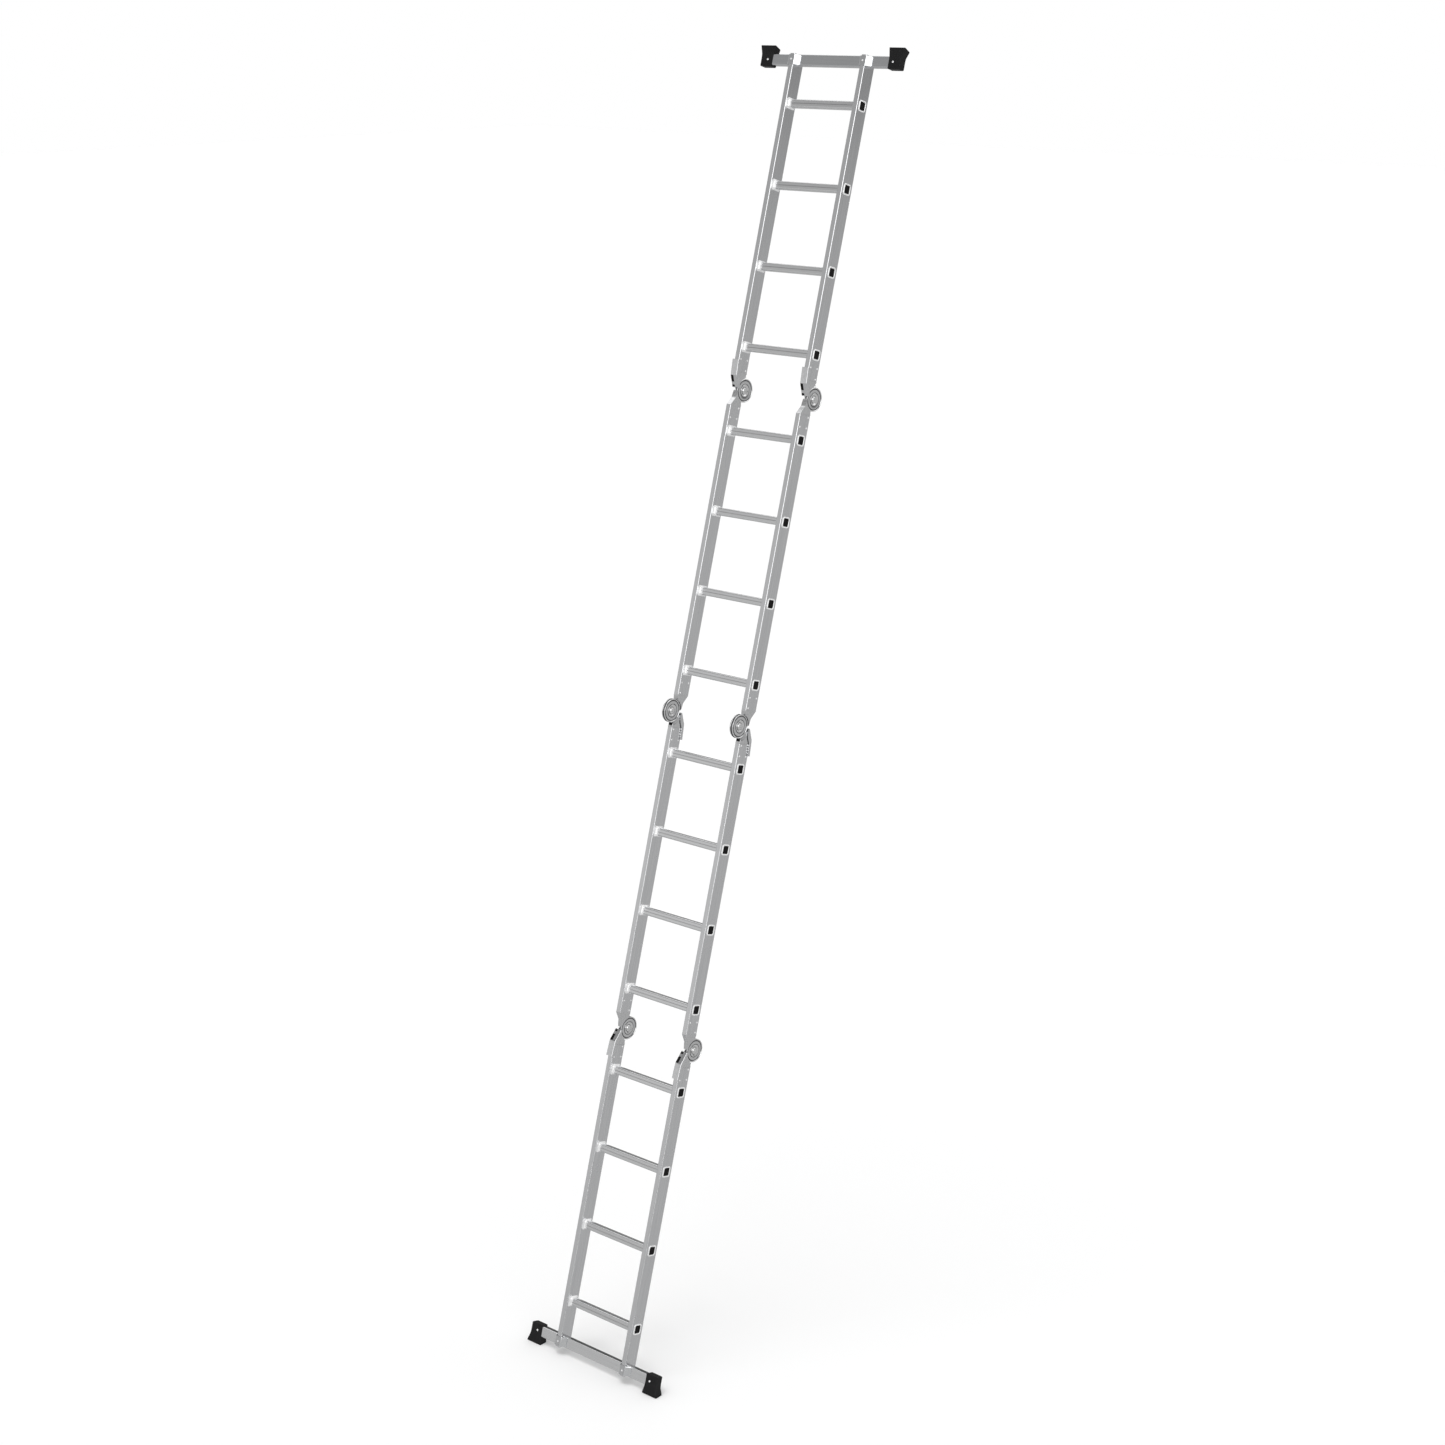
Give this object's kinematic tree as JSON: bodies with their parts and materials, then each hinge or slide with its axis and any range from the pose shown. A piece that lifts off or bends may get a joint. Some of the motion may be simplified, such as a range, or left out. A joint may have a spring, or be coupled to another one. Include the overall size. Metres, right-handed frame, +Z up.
{
  "type": "folding extension ladder",
  "caption": "Hinged multi-position aluminium ladder opened out straight and leaning, with locking disc hinges, release levers, cross bars and black feet.",
  "frame": {"origin": "on the floor, in the ladder's middle plane, halfway along the floor length that the leaning ladder covers", "axes": "+X along the rungs to the right seen from the climber's side, +Y from the climber's side towards the wall, +Z up"},
  "size_m": [0.6178, 1.3282, 4.4389],
  "materials": {
    "stile_aluminium": "satin mill-finish extrusion, fine lines along its length",
    "rung_aluminium": "satin extrusion with fine anti-slip grooves",
    "bar_aluminium": "satin mill-finish extrusion",
    "bracket_steel": "bright zinc-plated bent sheet",
    "hinge_steel": "zinc-plated pressed steel",
    "pin_steel": "bright zinc-plated rivet",
    "lever_steel": "zinc-plated pressed steel",
    "black_rubber": "matt black moulded rubber"
  },
  "bodies": {
    "section_1": {"section_1_left_stile": "stile_aluminium", "section_1_right_stile": "stile_aluminium", "section_1_rung_1": "rung_aluminium", "section_1_rung_2": "rung_aluminium", "section_1_rung_3": "rung_aluminium", "section_1_rung_4": "rung_aluminium", "bottom_bar": "bar_aluminium", "bottom_left_end_bracket": "bracket_steel", "bottom_right_end_bracket": "bracket_steel", "bottom_left_foot": "black_rubber", "bottom_right_foot": "black_rubber", "lower_left_hinge_fork": "hinge_steel", "lower_left_hinge_pin": "pin_steel", "lower_right_hinge_fork": "hinge_steel", "lower_right_hinge_pin": "pin_steel"},
    "section_2": {"section_2_left_stile": "stile_aluminium", "section_2_right_stile": "stile_aluminium", "section_2_rung_1": "rung_aluminium", "section_2_rung_2": "rung_aluminium", "section_2_rung_3": "rung_aluminium", "section_2_rung_4": "rung_aluminium", "lower_left_hinge_tongue": "hinge_steel", "lower_right_hinge_tongue": "hinge_steel", "middle_left_hinge_fork": "hinge_steel", "middle_left_hinge_pin": "pin_steel", "middle_right_hinge_fork": "hinge_steel", "middle_right_hinge_pin": "pin_steel"},
    "section_3": {"section_3_left_stile": "stile_aluminium", "section_3_right_stile": "stile_aluminium", "section_3_rung_1": "rung_aluminium", "section_3_rung_2": "rung_aluminium", "section_3_rung_3": "rung_aluminium", "section_3_rung_4": "rung_aluminium", "middle_left_hinge_tongue": "hinge_steel", "middle_right_hinge_tongue": "hinge_steel", "upper_left_hinge_tongue": "hinge_steel", "upper_right_hinge_tongue": "hinge_steel"},
    "section_4": {"section_4_left_stile": "stile_aluminium", "section_4_right_stile": "stile_aluminium", "section_4_rung_1": "rung_aluminium", "section_4_rung_2": "rung_aluminium", "section_4_rung_3": "rung_aluminium", "section_4_rung_4": "rung_aluminium", "top_bar": "bar_aluminium", "top_left_end_bracket": "bracket_steel", "top_right_end_bracket": "bracket_steel", "top_left_foot": "black_rubber", "top_right_foot": "black_rubber", "upper_left_hinge_fork": "hinge_steel", "upper_left_hinge_pin": "pin_steel", "upper_right_hinge_fork": "hinge_steel", "upper_right_hinge_pin": "pin_steel"},
    "lower_left_lever": {"lower_left_release_lever": "lever_steel"},
    "lower_right_lever": {"lower_right_release_lever": "lever_steel"},
    "middle_left_lever": {"middle_left_release_lever": "lever_steel"},
    "middle_right_lever": {"middle_right_release_lever": "lever_steel"},
    "upper_left_lever": {"upper_left_release_lever": "lever_steel"},
    "upper_right_lever": {"upper_right_release_lever": "lever_steel"}
  },
  "joints": [
    {"name": "lower_hinge_fold", "type": "hinge", "parent": "section_1", "child": "section_2", "pos_m": [0, -0.27782, 1.11868], "axis": [-1, 0, 0], "range_deg": [0, 180]},
    {"name": "middle_hinge_fold", "type": "hinge", "parent": "section_2", "child": "section_3", "pos_m": [0, -0.0365, 2.226], "axis": [1, 0, 0], "range_deg": [0, 180]},
    {"name": "upper_hinge_fold", "type": "hinge", "parent": "section_3", "child": "section_4", "pos_m": [0, 0.35272, 3.29039], "axis": [-1, 0, 0], "range_deg": [0, 180]},
    {"name": "lower_left_lever_press", "type": "hinge", "parent": "section_1", "child": "lower_left_lever", "pos_m": [-0.1525, -0.33524, 1.10203], "axis": [1, 0, 0], "range_deg": [0, 3.5], "stiffness_Nm_per_rad": 2, "springref_deg": -11.46},
    {"name": "lower_right_lever_press", "type": "hinge", "parent": "section_1", "child": "lower_right_lever", "pos_m": [0.1525, -0.33524, 1.10203], "axis": [1, 0, 0], "range_deg": [0, 3.5], "stiffness_Nm_per_rad": 2, "springref_deg": -11.46},
    {"name": "middle_left_lever_press", "type": "hinge", "parent": "section_2", "child": "middle_left_lever", "pos_m": [-0.1525, 0.00308, 2.18119], "axis": [-1, 0, 0], "range_deg": [0, 3.5], "stiffness_Nm_per_rad": 2, "springref_deg": -11.46},
    {"name": "middle_right_lever_press", "type": "hinge", "parent": "section_2", "child": "middle_right_lever", "pos_m": [0.1525, 0.00308, 2.18119], "axis": [-1, 0, 0], "range_deg": [0, 3.5], "stiffness_Nm_per_rad": 2, "springref_deg": -11.46},
    {"name": "upper_left_lever_press", "type": "hinge", "parent": "section_4", "child": "upper_left_lever", "pos_m": [-0.1525, 0.31314, 3.33521], "axis": [-1, 0, 0], "range_deg": [0, 3.5], "stiffness_Nm_per_rad": 2, "springref_deg": -11.46},
    {"name": "upper_right_lever_press", "type": "hinge", "parent": "section_4", "child": "upper_right_lever", "pos_m": [0.1525, 0.31314, 3.33521], "axis": [-1, 0, 0], "range_deg": [0, 3.5], "stiffness_Nm_per_rad": 2, "springref_deg": -11.46}
  ]
}
